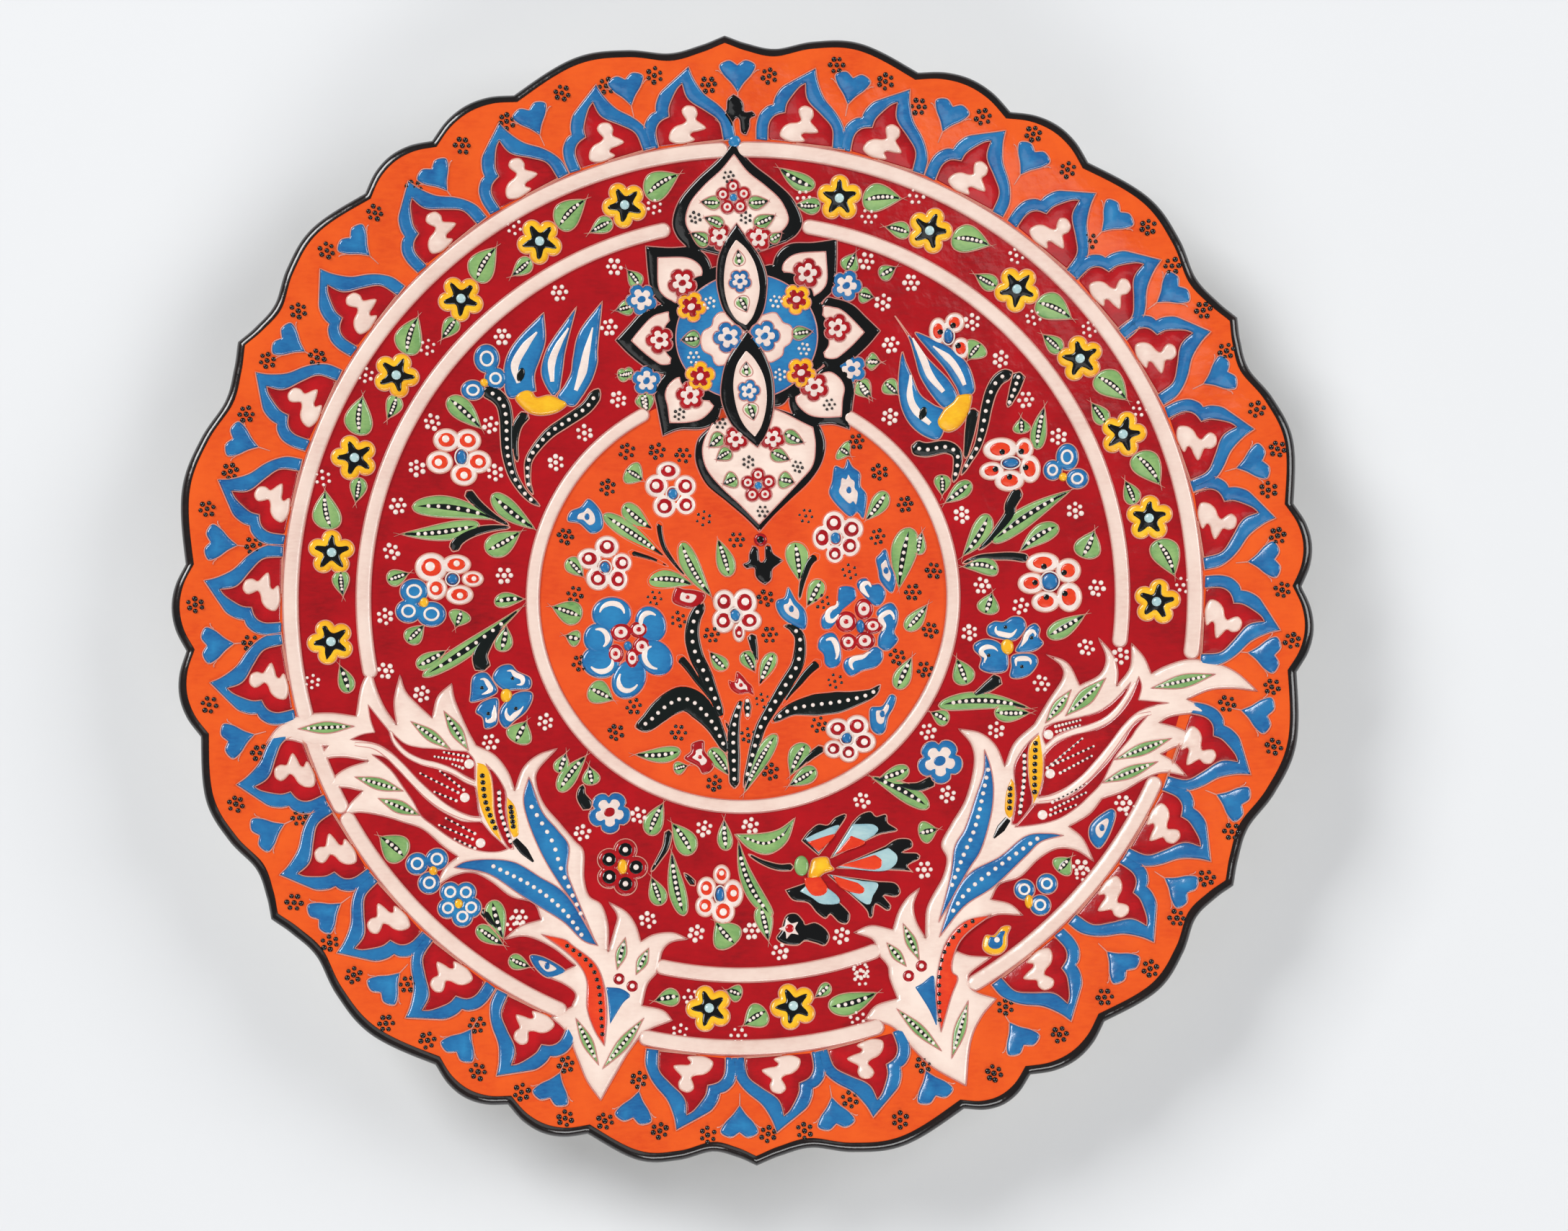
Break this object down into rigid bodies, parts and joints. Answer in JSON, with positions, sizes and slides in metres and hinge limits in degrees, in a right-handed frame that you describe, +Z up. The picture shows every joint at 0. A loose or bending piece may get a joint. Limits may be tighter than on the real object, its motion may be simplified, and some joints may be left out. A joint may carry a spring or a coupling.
{
  "type": "hand painted ceramic plate",
  "caption": "Round scalloped wall plate of glazed clay, hand painted in raised enamels with a pendant, two feathered sprays, flowers and three cream rings.",
  "frame": {"origin": "centre of the foot ring's underside, where the plate stands", "axes": "+Z up out of the painted face, +Y towards the top of the painted pattern, where a rim cusp is, +X to the right of it"},
  "size_m": [0.3049, 0.304, 0.0333],
  "materials": {
    "clear_glaze": "gloss",
    "pale_blue_enamel": "gloss",
    "yellow_enamel": "gloss",
    "red_glaze": "gloss",
    "green_enamel": "gloss",
    "white_enamel": "gloss",
    "black_enamel": "gloss",
    "red_enamel": "gloss",
    "bare_clay": "matte",
    "black_glaze": "gloss",
    "blue_enamel": "gloss",
    "orange_enamel": "gloss",
    "orange_glaze": "gloss",
    "cream_enamel": "gloss"
  },
  "bodies": {
    "root": {"back_glaze": "clear_glaze", "border_eyes_pale_blue": "pale_blue_enamel", "border_flowers_yellow": "yellow_enamel", "border_ground_red": "red_glaze", "border_leaves_green": "green_enamel", "border_rosettes_white": "white_enamel", "border_stars_black": "black_enamel", "carnation_black": "black_enamel", "carnation_calyx_yellow": "yellow_enamel", "carnation_red": "red_enamel", "clay_body": "bare_clay", "edge_band_black": "black_glaze", "field_flower_black": "black_enamel", "field_flower_eyes": "blue_enamel", "field_flowers_blue": "blue_enamel", "field_flowers_orange": "orange_enamel", "field_flowers_white": "white_enamel", "field_ground_red": "red_glaze", "field_leaves_green": "green_enamel", "field_rosettes_white": "white_enamel", "field_stems_black": "black_enamel", "foot_ring": "bare_clay", "medallion_flowers_red": "red_enamel", "medallion_flowers_white": "white_enamel", "medallion_ground_orange": "orange_glaze", "medallion_leaves_green": "green_enamel", "medallion_roses_blue": "blue_enamel", "medallion_roses_red": "red_enamel", "medallion_rosettes_black": "black_enamel", "medallion_stems_black": "black_enamel", "pendant_disc_blue": "blue_enamel", "pendant_flowers_red": "red_enamel", "pendant_flowers_yellow": "yellow_enamel", "pendant_outline_black": "black_enamel", "pendant_panels_cream": "cream_enamel", "rim_ground_orange": "orange_glaze", "rim_hearts_blue": "blue_enamel", "rim_palmettes_blue": "blue_enamel", "rim_palmettes_cream": "cream_enamel", "rim_palmettes_red": "red_enamel", "rim_rosettes_black": "black_enamel", "ring_inner_cream": "cream_enamel", "ring_middle_cream": "cream_enamel", "ring_outer_cream": "cream_enamel", "sprays_blue": "blue_enamel", "sprays_cream": "cream_enamel", "sprays_green": "green_enamel", "sprays_orange": "orange_enamel", "sprays_red": "red_enamel", "sprays_yellow": "yellow_enamel", "tulip_cups_yellow": "yellow_enamel", "tulips_blue": "blue_enamel"}
  },
  "joints": []
}
